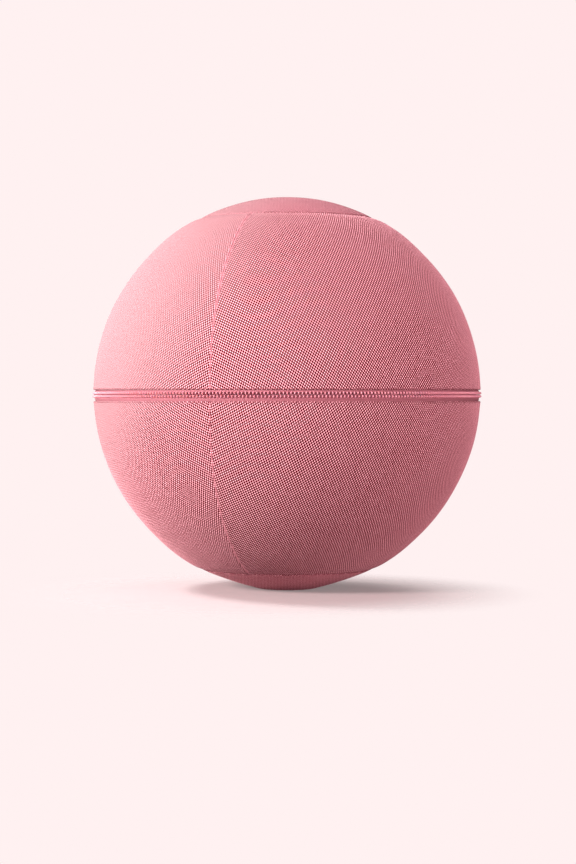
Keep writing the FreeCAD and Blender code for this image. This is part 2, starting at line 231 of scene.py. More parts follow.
class Lattice:
    """The mesh laid flat: threads cross at the odd places of a grid, with a hole at each even one.

    Each hole is a diamond between four crossings, with a lip round it and a funnel down to its foot.
    """

    def __init__(self, low_i, high_i, low_j, high_j):
        self.i, self.j = np.meshgrid(np.arange(low_i, high_i + 1), np.arange(low_j, high_j + 1),
                                     indexing="ij")
        self.count_j = high_j - low_j + 1
        self.u, self.v = self.i * HOLE_ACROSS / 2, self.j * HOLE_UP / 2

    def cut(self, inside):
        """Flat points, how deep each lies (0 to 1), and the faces of the holes that touch the panel."""
        hole = (self.i + self.j) % 2 == 0
        hole[[0, -1], :] = hole[:, [0, -1]] = False
        near = inside.copy()
        for axis, step in ((0, 1), (0, -1), (1, 1), (1, -1)):
            near |= np.roll(inside, step, axis=axis)
        centre = np.flatnonzero(hole & near)
        u, v = self.u.ravel(), self.v.ravel()
        corners = [centre + self.count_j, centre + 1, centre - self.count_j, centre - 1]
        lips, lip_u, lip_v = [], [], []
        for k, corner in enumerate(corners):
            lips.append(len(u) + k * len(centre) + np.arange(len(centre)))
            lip_u.append(u[centre] + LIP * (u[corner] - u[centre]))
            lip_v.append(v[centre] + LIP * (v[corner] - v[centre]))
        frame, funnel = [], []
        for k in range(4):
            here, after = corners[k], corners[(k + 1) % 4]
            lip, next_lip = lips[k], lips[(k + 1) % 4]
            frame += [np.stack([here, after, next_lip], 1), np.stack([here, next_lip, lip], 1)]
            funnel.append(np.stack([lip, next_lip, centre], 1))
        depth = np.where(hole.ravel(), 1.0, 0.0)
        depth = np.concatenate([depth, np.full(4 * len(centre), LIP_DEPTH / PIT_DEPTH)])
        u, v = np.concatenate([u, *lip_u]), np.concatenate([v, *lip_v])
        faces = np.concatenate(frame + funnel)
        rounded = np.arange(len(faces)) < 8 * len(centre)
        return u, v, depth, faces, rounded


def clean(points, faces, rounded, *others):
    """Drops the faces that have no area, and the points that no face uses."""
    a, b, c = (points[faces[:, k]] for k in range(3))
    solid = np.linalg.norm(np.cross(b - a, c - a), axis=1) > 2e-9
    faces, rounded = faces[solid], rounded[solid]
    used, local = np.unique(faces, return_inverse=True)
    return points[used], local.reshape(-1, 3), rounded, [o[used] for o in others]


def add_rim(points, normals, faces, rounded, uv):
    """Turns the cloth's edge in, so that it shows its thickness."""
    edges = open_edges(faces)
    rim, local = np.unique(edges, return_inverse=True)
    local = local.reshape(-1, 2) + len(points)
    inner = points[rim] - normals[rim] * CLOTH
    (a, b), (a2, b2) = edges.T, local.T
    quads = np.concatenate([np.stack([b, a, a2], 1), np.stack([b, a2, b2], 1)])
    points = np.concatenate([points, inner])
    rounded = np.concatenate([rounded, np.ones(len(quads), bool)])
    return points, np.concatenate([faces, quads]), rounded, np.concatenate([uv, uv[rim]])


def make_panel(name, body, side, points, normals, faces, rounded, uv):
    """A panel of the cover with its turned edge, from what Lattice cut for it."""
    if side < 0:
        faces = faces[:, ::-1]
    points, faces, rounded, (normals, uv) = clean(points, faces, rounded, normals, uv)
    points, faces, rounded, uv = add_rim(points, normals, faces, rounded, uv)
    return make_piece(name, body, points, faces, uv, rounded)


# ---- the side panels -----------------------------------------------------------------------


def swell(meridian, s):
    """How far the stretched cloth stands off the plain arc along a gore."""
    share = s / meridian.length
    belly = BELLY[meridian.side] * smooth((share - 0.70) / 0.18)
    to_seam = meridian.length - s
    return belly * smooth(to_seam / (22 * MM)) - GORE_END_DIP * bell(to_seam, CAP_SEAM_REACH)


def ripple(turn, s, side):
    """The cloth's slight unevenness, a fraction of a millimetre."""
    a = np.radians(turn)
    broad = np.sin(5 * a + 31 * s + side) + np.sin(9 * a - 47 * s + 2.1 * side)
    by_zip = bell(s, 16 * MM) * (np.sin(71 * a + side) + np.sin(113 * a + 1.3))
    return 0.14 * MM * broad + 0.16 * MM * by_zip


def gore_height(meridian, dl, s, turn, radius):
    """How far a point of the cloth is moved along its normal, before the holes."""
    limit = math.radians(HALF_GORE)
    from_left = (limit + dl) * radius
    from_right = (limit - dl) * radius
    height = swell(meridian, s) + ripple(turn, s, meridian.side)
    for from_seam in (from_left, from_right):
        height -= SEAM_DIP * bell(from_seam, 2.2 * MM)
        height += SEAM_PUFF * bell(from_seam - 5 * MM, 2.5 * MM)
    return height + FOLD_PUFF * bell(s - 2.6 * MM, 1.8 * MM) - FOLD_DIP * bell(s, 0.9 * MM)


def make_gore(name, meridian, centre, body):
    """A side panel: the mesh is cut as a flat cone's sector and laid round the ball."""
    side = meridian.side
    offset = CONE_APEX - abs(meridian.fold)  # from the fold to the apex of the flat gore
    limit = math.radians(HALF_GORE - 0.05)
    widest = offset * math.sin(CONE * limit)
    highest = offset - (offset - meridian.length) * math.cos(CONE * limit)
    half_i = int(widest / (HOLE_ACROSS / 2)) + 2
    flat = Lattice(-half_i, half_i, -2, int(highest / (HOLE_UP / 2)) + 3)

    def unroll(u, v):
        reach = np.hypot(u, offset - v)
        return np.arctan2(u, offset - v) / CONE, offset - reach

    dl, s = unroll(flat.u, flat.v)
    inside = (np.abs(dl) <= limit) & (s >= 0) & (s <= meridian.length)
    u, v, depth, faces, rounded = flat.cut(inside)
    dl, s = unroll(u, v)
    dl, s = np.clip(dl, -limit, limit), np.clip(s, 0, meridian.length)
    reach = offset - s
    uv = np.stack([reach * np.sin(CONE * dl) / HOLE_ACROSS,
                   (offset - reach * np.cos(CONE * dl)) / HOLE_UP], 1)
    radius, rise, across, up = meridian.at(s)
    turn = centre + np.degrees(dl) + drift(side, rise)
    to_edge = np.minimum.reduce([(limit - np.abs(dl)) * radius, s, meridian.length - s])
    height = gore_height(meridian, dl, s, turn, radius)
    height = height - PIT_DEPTH * depth * smooth(to_edge / EDGE_FADE)
    points = place(radius + height * across, turn, EQUATOR + side * (rise + height * up))
    normals = place(across, turn, side * up)
    piece = make_panel(name, body, side, points, normals, faces, rounded, uv)
    area = 2 * limit * meridian_area(meridian)
    return piece


def meridian_area(meridian):
    """The area of cloth for each radian of turn."""
    s = np.linspace(0, meridian.length, 200)
    radius = meridian.at(s)[0]
    return float(((radius[1:] + radius[:-1]) / 2 * np.diff(s)).sum())


# ---- the round caps ------------------------------------------------------------------------


def cap_profile(side):
    """Radius and height of a cap for s, the way along the cloth from its middle."""
    if side > 0:
        rise = CROWN - (UPPER_SEAM + 1.5 * MM)
        bend = (UPPER_CAP_RADIUS**2 + rise**2) / (2 * rise)
        length = bend * math.asin(UPPER_CAP_RADIUS / bend)

        def at(s):
            across, up = np.sin(s / bend), np.cos(s / bend)
            return bend * across, CROWN - bend * (1 - up), across, up

        return length, at
    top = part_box("lower_cap")[1].z - 1.9 * MM
    chord = math.hypot(LOWER_CAP_RADIUS - FLOOR_PATCH, top)
    lean = math.atan2(top, LOWER_CAP_RADIUS - FLOOR_PATCH)
    half = math.asin(chord / 2 / LOWER_CAP_BEND)
    arc = 2 * half * LOWER_CAP_BEND
    length = FLOOR_PATCH + arc

    def at(s):
        angle = lean - half + np.maximum(s - FLOOR_PATCH, 0) / LOWER_CAP_BEND
        first = lean - half
        radius = LOWER_CAP_BEND * (np.sin(angle) - np.sin(first)) + np.minimum(s, FLOOR_PATCH)
        height = LOWER_CAP_BEND * (np.cos(first) - np.cos(angle))
        tilt = np.where(s < FLOOR_PATCH, 0, angle)
        return radius, height, np.sin(tilt), -np.cos(tilt)

    return length, at


def make_cap(name, side, body):
    """A round panel, cut flat and laid over the top or under the ball."""
    length, at = cap_profile(side)
    half_i = int(length / (HOLE_ACROSS / 2)) + 2
    half_j = int(length / (HOLE_UP / 2)) + 2
    flat = Lattice(-half_i, half_i, -half_j, half_j)
    u, v, depth, faces, rounded = flat.cut(np.hypot(flat.u, flat.v) <= length)
    s = np.hypot(u, v)
    squeeze = np.minimum(1, length / np.maximum(s, 1e-9))
    u, v, s = u * squeeze, v * squeeze, s * squeeze
    uv = np.stack([u / HOLE_ACROSS, v / HOLE_UP], 1)
    turn = np.degrees(np.arctan2(u, -v))
    radius, z, across, up = at(s)
    to_seam = length - s
    dip = PIT_DEPTH * depth * smooth(to_seam / EDGE_FADE)
    wave = 0.12 * MM * np.sin(60 * u + 1) * np.sin(47 * v) if side > 0 else 0
    height = wave - CAP_EDGE_DIP * bell(to_seam, CAP_SEAM_REACH) - dip
    points = place(radius + height * across, turn, z + height * up)
    normals = place(across, turn, up)
    piece = make_panel(name, body, side, points, normals, faces, rounded, uv)
    return piece


# ---- sewn and woven trim -------------------------------------------------------------------


def tube(points, ups, radius, sides=6, closed=False, flatness=1.0):
    """A tube along points, radius wide and radius times flatness high along ups."""
    points, ups = np.asarray(points, float), np.asarray(ups, float)
    ahead = np.roll(points, -1, axis=0) - np.roll(points, 1, axis=0)
    if not closed:
        ahead[0], ahead[-1] = points[1] - points[0], points[-1] - points[-2]
    ahead /= np.linalg.norm(ahead, axis=1)[:, None]
    aside = np.cross(ahead, ups)
    aside /= np.linalg.norm(aside, axis=1)[:, None]
    angles = np.arange(sides) * 2 * math.pi / sides
    wide = np.cos(angles)[None, :, None] * aside[:, None, :]
    high = np.sin(angles)[None, :, None] * ups[:, None, :] * flatness
    rings = points[:, None, :] + np.broadcast_to(radius, len(points))[:, None, None] * (wide + high)
    count = len(points)
    along = np.concatenate([[0], np.cumsum(np.linalg.norm(np.diff(points, axis=0), axis=1))])
    uv = np.stack([np.repeat(along, sides), np.tile(angles, count)], 1)
    return rings.reshape(-1, 3), grid_faces(count, sides, round_rows=closed), uv


def join(parts):
    """Several (points, faces, uv) as one."""
    points, faces, uvs, shift = [], [], [], 0
    for p, f, uv in parts:
        points.append(p)
        faces.append(f + shift)
        uvs.append(uv)
        shift += len(p)
    return np.concatenate(points), np.concatenate(faces), np.concatenate(uvs)


def stitches(starts, ends, ups, radius, lift):
    """A thread for each start and end, which comes up, lies along the cloth and goes down again."""
    stations = ((0.0, -radius), (0.12, lift), (0.5, lift + radius / 4), (0.88, lift), (1.0, -radius))
    sides = 5
    ahead = ends - starts
    ahead = ahead / np.linalg.norm(ahead, axis=1)[:, None]
    aside = np.cross(ahead, ups)
    angles = (np.arange(sides) * 2 * math.pi / sides)[None, :, None]
    ring = np.cos(angles) * aside[:, None, :] + np.sin(angles) * ups[:, None, :]
    rings = []
    for share, height in stations:
        middle = starts * (1 - share) + ends * share + ups * height
        rings.append(middle[:, None, :] + radius * ring)
    count, size = len(starts), sides * len(stations)
    points = np.stack(rings, 1).reshape(-1, 3)
    faces = np.arange(count)[:, None, None] * size + grid_faces(len(stations), sides)[None]
    uv = np.stack([np.tile(np.repeat(np.arange(len(stations)), sides), count),
                   np.tile(np.arange(sides), count * len(stations))], 1)
    return points, faces.reshape(-1, 4), uv


def row_of_stitches(at, length, pitch, span, radius, lift):
    """Stitches along a line: at gives points and normals for the way along the line."""
    count = max(1, int(length / pitch))
    first = (np.arange(count) + 0.5 - span / 2) * length / count
    starts, ups = at(first)
    ends, _ = at(first + span * length / count)
    return stitches(starts, ends, ups, radius, lift)


def on_gore(meridian, turn, s, aside, lift):
    """Points on the cloth by a seam, aside along the cloth and lifted off it, and normals."""
    side = meridian.side
    radius, rise, across, up = meridian.at(s)
    where = turn + drift(side, rise) + np.degrees(aside / radius)
    height = swell(meridian, s) + lift
    normals = place(across, where, side * up)
    return place(radius + height * across, where, EQUATOR + side * (rise + height * up)), normals


STITCH_PITCH, WELT_STITCH_PITCH = 4.2 * MM, 5.6 * MM
THREAD, WELT_THREAD, COIL_THREAD = 0.28 * MM, 0.42 * MM, 0.25 * MM  # half as thick as they are
THREAD_LIFT = 0.1 * MM
WELT_SLANT = math.radians(63)
WELT_IN, WELT_SHIFT = 0.3 * MM, 0.75 * MM  # from the middle of the welt's box, inwards and to the zip
WELT_FLATNESS = 0.5
SEAM_RIBS = {  # side: for each rib its place by the seam, its half width, its lift and its flatness
    1: ((-1.55, 1.10, -0.10, 0.55), (1.75, 1.00, -0.20, 0.55)),
    -1: ((-0.80, 0.55, -0.30, 0.55), (0.85, 0.50, -0.32, 0.55)),
}


def rib_spread(s, meridian):
    """The seam is drawn thin by the zip and widens towards the cap."""
    return 0.30 + 0.70 * smooth(s / (0.65 * meridian.length))


def make_seam(name, meridian, turn, body):
    """The sewn seam between two panels: an allowance turned to each side, and stitched down."""
    s = np.arange(0, meridian.length - 1 * MM, 3 * MM)
    spread = rib_spread(s, meridian)
    parts = []
    for aside, width, lift, flatness in SEAM_RIBS[meridian.side]:
        lift = lift - 0.25 * (1 - spread)
        points, ups = on_gore(meridian, turn, s, aside * MM * spread, lift * MM)
        parts.append(tube(points, ups, width * MM * spread, sides=10, flatness=flatness))
    return make_piece(name, body, *join(parts))


def make_seam_thread(name, meridian, turn, body):
    rows = []
    for aside, width, lift, flatness in SEAM_RIBS[meridian.side]:
        def at(s, aside=aside, lift=lift + 0.8 * width * flatness):
            spread = rib_spread(s, meridian)
            return on_gore(meridian, turn, s, aside * MM * spread, lift * MM * spread)

        length = meridian.length - 2 * MM
        rows.append(row_of_stitches(at, length, STITCH_PITCH, 0.62, THREAD, THREAD_LIFT))
    return make_piece(name, body, *join(rows))


def fold_thread(name, meridian, body):
    """The stitches that hold the folded edge of the cloth on the zip's tape."""
    def at(way):
        turn = np.degrees(way / BELT_RADIUS)
        return on_gore(meridian, turn, 1.5 * MM + 0 * way, 0 * way, 0.22 * MM)

    round_way = 2 * math.pi * BELT_RADIUS
    rows = row_of_stitches(at, round_way, STITCH_PITCH, 0.76, THREAD * 1.5, THREAD_LIFT)
    return make_piece(name, body, *rows)


def on_welt(side, turns):
    """Points along the middle of a welt, the way it faces, and half its width."""
    low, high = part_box("upper_cap_welt" if side > 0 else "lower_cap_welt")
    small = (high.z - low.z) / 2
    ups = place(math.cos(WELT_SLANT) + 0 * turns, turns, side * math.sin(WELT_SLANT))
    z = (high.z + low.z) / 2 - side * WELT_SHIFT
    return place(high.x - small - WELT_IN + 0 * turns, turns, z), ups, small


def make_welt(name, side, body):
    """The narrow sewn edge round a cap."""
    points, ups, small = on_welt(side, np.linspace(0, 360, 241)[:-1])
    ring = tube(points, ups, small, sides=12, closed=True, flatness=WELT_FLATNESS)
    return make_piece(name, body, *ring)


def make_welt_thread(name, side, body):
    """The stitches round a welt."""
    low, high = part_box("upper_cap_welt" if side > 0 else "lower_cap_welt")
    radius = high.x - (high.z - low.z) / 2

    def at(way):
        points, ups, small = on_welt(side, np.degrees(way / radius))
        return points + ups * (small * WELT_FLATNESS), ups

    rows = row_of_stitches(at, 2 * math.pi * radius, WELT_STITCH_PITCH, 0.5, WELT_THREAD, 0.12 * MM)
    return make_piece(name, body, *rows)


# ---- the zip -------------------------------------------------------------------------------

TOOTH_PITCH = 5.85 * MM
TOOTH_FOOT = 5.0 * MM
TAPE_EDGE = 0.9 * MM
CHAIN_END_UPPER = 164.0
CHAIN_END_LOWER = 169.4


def tooth_shape():
    """A loop of coil lying across the chain: points as (along, out, across), and its faces."""
    rows = (  # across, half its width, its height over the tape, in millimetres
        (0.15, 0.45, 0.8), (0.70, 0.80, 2.3), (1.50, 0.98, 3.8), (2.90, 1.02, 4.0),
        (4.10, 1.15, 3.3), (4.90, 1.00, 1.5),
    )
    sides = 7
    points = []
    for across, half, top in rows:
        for k in range(sides):
            a = math.pi * k / (sides - 1)
            points.append((half * MM * math.cos(a), top * MM * math.sin(a) ** 0.7, across * MM))
    faces = []
    for r in range(len(rows) - 1):
        for k in range(sides - 1):
            a = r * sides + k
            faces += [(a, a + 1, a + sides + 1), (a, a + sides + 1, a + sides)]
    foot = (len(rows) - 1) * sides
    for k in range(1, sides - 1):
        faces += [(0, k + 1, k), (foot, foot + k, foot + k + 1)]
    return np.array(points), np.array(faces)


def make_chain(name, side, body, end):
    """One row of teeth round the equator, each a loop of the coil on its tape."""
    shape, shape_faces = tooth_shape()
    along, out, across = shape.T
    step = math.degrees(TOOTH_PITCH / TAPE_RADIUS)
    count = int(2 * end / step)
    turns = -end + step * (np.arange(count) + (0.75 if side > 0 else 0.25))
    radius = TAPE_RADIUS + out * (COIL_RADIUS - TAPE_RADIUS) / (4.1 * MM)
    slant = 0.25 * MM * side * (across / TOOTH_FOOT - 0.5)
    turn = turns[:, None] + np.degrees((along + slant) / TAPE_RADIUS)[None, :]
    points = place(np.broadcast_to(radius, turn.shape), turn, EQUATOR + side * across).reshape(-1, 3)
    faces = (np.arange(count)[:, None, None] * len(shape) + shape_faces[None]).reshape(-1, 3)
    if side < 0:
        faces = faces[:, ::-1]
    uv = np.stack([(along / MM)[None, :] + 7.0 * np.arange(count)[:, None],
                   np.broadcast_to(across / MM, turn.shape)], -1).reshape(-1, 2)
    return make_piece(name, body, points, faces, uv)


def band_mesh(name, body, side, turns, profile):
    """A closed band round the equator: profile is a loop of (radius, distance from the middle)."""
    profile = np.array(profile)
    size = len(profile)
    grid_turn = np.repeat(turns, size)
    radius, across = np.tile(profile[:, 0], len(turns)), np.tile(profile[:, 1], len(turns))
    points = place(radius, grid_turn, EQUATOR + side * across)
    faces = grid_faces(len(turns), size, flip=True)
    if side < 0:
        faces = faces[:, ::-1]
    uv = np.stack([np.radians(grid_turn) * TAPE_RADIUS / MM, across / MM], 1)
    return make_piece(name, body, points, faces, uv)


def make_tape(name, side, body, end, meridian):
    """The woven tape under one row of teeth, sewn behind the fold of the cloth."""
    fold = abs(meridian.fold) / MM
    outer = [(-1.0, TAPE_EDGE / MM), (-0.9, 3.9), (0.1, 4.6), (0.15, 5.2), (0.0, 5.8),
             (-0.05, fold - 1.7), (-1.0, fold - 0.4), (-1.3, fold + 1.5), (-1.3, 14.0),
             (-1.4, TAPE_DEPTH / MM)]
    inner = [(out - 0.7, across) for out, across in reversed(outer)]
    profile = [(TAPE_RADIUS + out * MM, across * MM) for out, across in outer + inner]
    return band_mesh(name, body, side, np.linspace(-end, end, int(end)), profile)


def coil_thread(name, side, body, end):
    """Two rows of stitches that hold the feet of the teeth on the tape."""
    def at(way):
        turn = np.degrees(way / TAPE_RADIUS) - end
        points = place(TAPE_RADIUS + 0.25 * MM + 0 * turn, turn, EQUATOR + side * 5.45 * MM)
        return points, place(1 + 0 * turn, turn, 0)

    length = 2 * math.radians(end) * TAPE_RADIUS
    rows = row_of_stitches(at, length, TOOTH_PITCH / 2, 0.7, COIL_THREAD, 0.08 * MM)
    return make_piece(name, body, *rows)


# ---- the slider, its pull and the stops -----------------------------------------------------

SLIDER_TURN = -167.5
PULL_FACE = 331.45 * MM
FACE_PLATE = 328.4 * MM
RELIEF = 0.42 * MM


def softened(name, node, width, body):
    """The shape of a CAD node with its edges rounded."""
    mesh = frame["nodes"][node].data.copy()
    mesh.transform(frame["nodes"][node].matrix_world)
    form = bmesh.new()
    form.from_mesh(mesh)
    bmesh.ops.remove_doubles(form, verts=form.verts, dist=0.002 * MM)
    bmesh.ops.dissolve_limit(form, angle_limit=math.radians(1), verts=form.verts, edges=form.edges)
    sharp = [e for e in form.edges if len(e.link_faces) == 2 and e.calc_face_angle() > math.radians(50)]
    bmesh.ops.bevel(form, geom=sharp, offset=width, segments=3, profile=0.6, affect="EDGES",
                    clamp_overlap=True)
    bmesh.ops.triangulate(form, faces=form.faces)
    form.to_mesh(mesh)
    form.free()
    mesh.name = name
    mesh.polygons.foreach_set("use_smooth", np.ones(len(mesh.polygons), bool))
    mesh.set_sharp_from_angle(angle=math.radians(32))
    piece = add_object(name, mesh)
    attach(piece, body)
    return piece


def by_slider(out, along, up):
    """Points by the slider: out from the axis, along the zip and up from the chain."""
    a = math.radians(SLIDER_TURN)
    x = out * math.sin(a) + along * math.cos(a)
    y = -out * math.cos(a) + along * math.sin(a)
    return np.stack([x, y, EQUATOR + up + 0 * x], axis=-1)


def pull_relief():
    """The raised rim round the pull's outer face, and the ridges that fingers grip."""
    near, far, half, corner = 6.0 * MM, 25.0 * MM, 2.65 * MM, 1.2 * MM
    left, right, top = near + corner, far - corner, half - corner
    bends = []
    for along, up, first in ((right, top, 0), (left, top, 90), (left, -top, 180), (right, -top, 270)):
        a = np.radians(first + np.linspace(0, 90, 7))
        bends.append(np.stack([along + corner * np.cos(a), up + corner * np.sin(a)], 1))
    along, up = np.concatenate(bends).T
    ups = place(1 + 0 * up, SLIDER_TURN + 0 * up, 0)
    rim = by_slider(PULL_FACE, along, up)
    parts = [tube(rim, ups, RELIEF, sides=10, closed=True, flatness=0.7)]
    thick = RELIEF * np.array([0.1, 0.9, 1, 0.9, 0.1])
    for along in (9.0, 11.0, 13.0, 15.0):
        up = np.linspace(-1.5, 1.5, len(thick)) * MM
        line = by_slider(PULL_FACE, along * MM + 0 * up, up)
        parts.append(tube(line, ups[:len(up)], thick, sides=10, flatness=0.7))
    return join(parts)


def slider_relief():
    """Raised bars along the slider's face on each side of its bridge, and a bar across each end."""
    parts = []
    taper = np.array([0.2, 0.9, 1, 1, 1, 1, 1, 0.9, 0.2])
    share = np.linspace(-1, 1, len(taper))
    bars = [(1.62 * share, up + 0 * share, 0.5 * MM) for up in (-4.9, 4.9)]
    bars += [(end + 0 * share, 4.2 * share, RELIEF) for end in (-1.55, 1.55)]
    for turns, up, thick in bars:
        line = place(FACE_PLATE + 0 * share, SLIDER_TURN + turns, EQUATOR + up * MM)
        ups = place(1 + 0 * share, SLIDER_TURN + turns, 0)
        parts.append(tube(line, ups, thick * taper, sides=10, flatness=0.8))
    return join(parts)


def make_fittings(metal, plastic):
    """Slider, pull and stops with rounded edges, and the two pieces of the valve."""
    for node, width, body in (("zip_slider", 0.3, "slider"), ("pull_tab", 0.3, "pull"),
                              ("zip_top_stop", 0.6, "base"), ("zip_bottom_stop", 0.6, "base")):
        dress(softened(f"{node}_cast", node, width * MM, body), metal, "slider_metal", node)
    for name, relief, body in (("slider_relief", slider_relief(), "slider"),
                               ("pull_relief", pull_relief(), "pull")):
        dress(make_piece(name, body, *relief), metal, "slider_metal")
    for node in ("valve_seat", "valve_plug"):
        dress(softened(f"{node}_moulded", node, 0.35 * MM, "base"), plastic, "valve_plastic", node)


# ---- the join and the ball -----------------------------------------------------------------


def make_join():
    """The strip of cloth behind the ends of the zip, built in one fixed shape."""
    low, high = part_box("rear_join")
    reach = math.degrees(math.asin(high.x / high.y)) * 0.995
    turns = 180 + np.linspace(-reach, reach, 25)
    rows = np.linspace(low.z + 0.3 * MM, UPPER_FOLD + 1.0 * MM, 15)
    half = (UPPER_FOLD - LOWER_FOLD) / 2
    middle = (UPPER_FOLD + LOWER_FOLD) / 2
    grid_turn, grid_z = np.meshgrid(turns, rows, indexing="ij")
    bulge = 0.6 * MM * (1 - ((grid_z - middle) / half) ** 2)
    layers, size = [], grid_turn.size
    for depth in (0.0, 1.2 * MM):
        radius = high.y - 1.0 * MM + bulge - depth
        layers.append(place(radius.ravel(), grid_turn.ravel(), grid_z.ravel()))
    count = len(rows)
    outer = grid_faces(len(turns), count, round_columns=False, flip=True)
    ring = np.concatenate([np.arange(count), np.arange(1, len(turns)) * count + count - 1,
                           (len(turns) - 1) * count + np.arange(count - 2, -1, -1),
                           np.arange(len(turns) - 2, 0, -1) * count])
    after = np.roll(ring, -1)
    edge = np.stack([ring, after, after + size, ring + size], 1)
    faces = np.concatenate([outer, outer[:, ::-1] + size, edge])
    uv = np.stack([np.radians(grid_turn.ravel()) * high.y / HOLE_ACROSS,
                   (grid_z.ravel() - EQUATOR) / HOLE_UP], 1)
    piece = make_mesh("join_strip", np.concatenate(layers), faces, np.concatenate([uv, uv]))
    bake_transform(piece)
    return piece


def make_ball(name):
    """The air-filled ball: smooth skin with low ribs round it, flat where it is pressed down."""
    belt, low = BALL_RADIUS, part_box("inner_ball")[0].z
    shoulder = math.asin(0.143 / 0.3245)
    degrees = np.linspace(-90, 90, 361)
    latitudes = np.radians(degrees)
    across, up = np.cos(latitudes), np.sin(latitudes)
    above, below = BALL_CROWN - EQUATOR, EQUATOR - low
    radius = belt * across
    height = np.where(up > 0, above, below) * up
    flat = np.clip((np.abs(up) - math.cos(shoulder)) / (1 - math.cos(shoulder)), 0, 1)
    band = np.sin(degrees * 2 * math.pi / 3.0)
    ribbed = smooth((np.abs(degrees) - 12) / 2) * smooth((66 - np.abs(degrees)) / 2)
    rib = 0.35 * MM * np.clip(band, 0, 1) * ribbed - 1.4 * MM - 1.8 * MM * flat
    radius, height = radius + rib * across, height + rib * up
    height = np.maximum(height, low - EQUATOR)
    turns = np.linspace(0, 360, 145)[:-1]
    count = len(turns)
    grid_turn = np.tile(turns, len(latitudes))
    points = place(np.repeat(radius, count), grid_turn, EQUATOR + np.repeat(height, count))
    uv = np.stack([grid_turn, np.repeat(degrees, count)], 1)
    return make_piece(name, "base", points, grid_faces(len(latitudes), count), uv)


# ---- materials -----------------------------------------------------------------------------


class Nodes:
    """Short ways to build a node tree."""

    def __init__(self, name):
        self.material = bpy.data.materials.new(name)
        self.material.use_nodes = True
        self.tree = self.material.node_tree
        self.shader = next(n for n in self.tree.nodes if n.type == "BSDF_PRINCIPLED")

    def add(self, kind, *values, **settings):
        """A node with its settings, and its first inputs in order."""
        node = self.tree.nodes.new(kind)
        for key, value in settings.items():
            setattr(node, key, value)
        for socket, value in zip(node.inputs, values):
            self.feed(socket, value)
        return node

    def feed(self, socket, value):
        """Gives a socket a number, a vector, a colour or the output of another node."""
        if isinstance(value, bpy.types.NodeSocket):
            self.tree.links.new(value, socket)
        elif socket.type == "RGBA":
            socket.default_value = (*value, 1)
        else:
            socket.default_value = value

    def math(self, operation, a, b=0.0):
        return self.add("ShaderNodeMath", a, b, operation=operation).outputs[0]

    def vector(self, operation, a, b=(0, 0, 0)):
        node = self.add("ShaderNodeVectorMath", a, b, operation=operation)
        return node.outputs["Value" if operation in ("LENGTH", "DOT_PRODUCT") else 0]

    def ramp(self, value, *spans):
        """From 0 to 1, or between the third and fourth of the spans, from the first to the second."""
        return self.add("ShaderNodeMapRange", value, *spans, interpolation_type="SMOOTHSTEP").outputs[0]

    def mix(self, factor, a, b):
        node = self.add("ShaderNodeMix", factor, data_type="RGBA")
        self.feed(node.inputs[6], a)
        self.feed(node.inputs[7], b)
        return node.outputs[2]

    def noise(self, vector, scale, detail):
        node = self.add("ShaderNodeTexNoise", vector)
        node.inputs["Scale"].default_value = scale
        node.inputs["Detail"].default_value = detail
        return node.outputs["Fac"]

    def wave(self, vector, scale, distortion=0.0):
        node = self.add("ShaderNodeTexWave", vector, scale, distortion, bands_direction="DIAGONAL")
        return node.outputs["Fac"]

    def cloth_way(self):
        """The way along and across a piece's cloth, thread or tape."""
        return self.add("ShaderNodeUVMap", uv_map="cloth").outputs[0]

    def spot(self):
        """The place on the piece as it is at rest."""
        return self.add("ShaderNodeTexCoord").outputs["Object"]

    def bump(self, height, distance, strength):
        node = self.add("ShaderNodeBump", strength, distance)
        self.feed(node.inputs["Height"], height)
        return node.outputs[0]

    def set(self, **sockets):
        for key, value in sockets.items():
            self.feed(self.shader.inputs[key.replace("_", " ")], value)


# Tones in linear red, green and blue. Each pair runs from its darker to its lighter tone.
PINK = (0.92, 0.44, 0.50)
PINK_LIGHT = (0.99, 0.53, 0.59)
# Painted shade: the darkest tone of each cloth colours its holes, for the shade down in them.
PINK_HOLE_SHADE = (0.07, 0.0005, 0.004)
FOOT_HOLE_SHADE = (0.15, 0.014, 0.024)
# Painted shade: the upper cap's cloth is the side panels' cloth painted darker, with paler holes, for
# the shade over the top of the ball.
CAP_SHADED_PINK = (0.41, 0.19, 0.217)
CAP_SHADED_PINK_LIGHT = (0.46, 0.23, 0.256)
CAP_HOLE_SHADE = (0.20, 0.055, 0.072)
LIT_HOLES_PINK = (0.26, 0.132, 0.144)  # painted light: one even tone over the cloth on the upper left, where the key lamp lights the holes to their foot
LIT_HOLES_SIDE = (-0.866, 0.0, 0.5)  # the way there from the middle of the ball's foot
LIT_HOLES_SPAN = (0.28, 0.43)  # how far along it the painted light begins, and where it is full
LIT_HOLES_SHARE = 0.89
BINDING = (0.33, 0.105, 0.13), (0.43, 0.15, 0.18)
# Painted shade: the welts use the binding cloth painted darker, for shade at the seam round each cap.
WELT_SHADED_BINDING = (0.25, 0.065, 0.085), (0.33, 0.10, 0.125)
THREAD_PINK = (0.44, 0.14, 0.175), (0.58, 0.22, 0.265)
THREAD_DARK = (0.14, 0.02, 0.035), (0.24, 0.045, 0.065)
METAL_PINK = (0.38, 0.10, 0.13), (0.46, 0.14, 0.175)
BALL_PINK = (0.34, 0.08, 0.115), (0.42, 0.11, 0.15)
VALVE_WHITE = (0.60, 0.57, 0.55), (0.68, 0.65, 0.62)
TAPE_PINK = (0.195, 0.056, 0.073), (0.25, 0.081, 0.10)
TAPE_SHADE_UNDER_TEETH = (0.17, 0.04, 0.055)  # painted shade on the tape between and under the teeth
COIL_PINK = (0.39, 0.125, 0.16), (0.51, 0.19, 0.23)


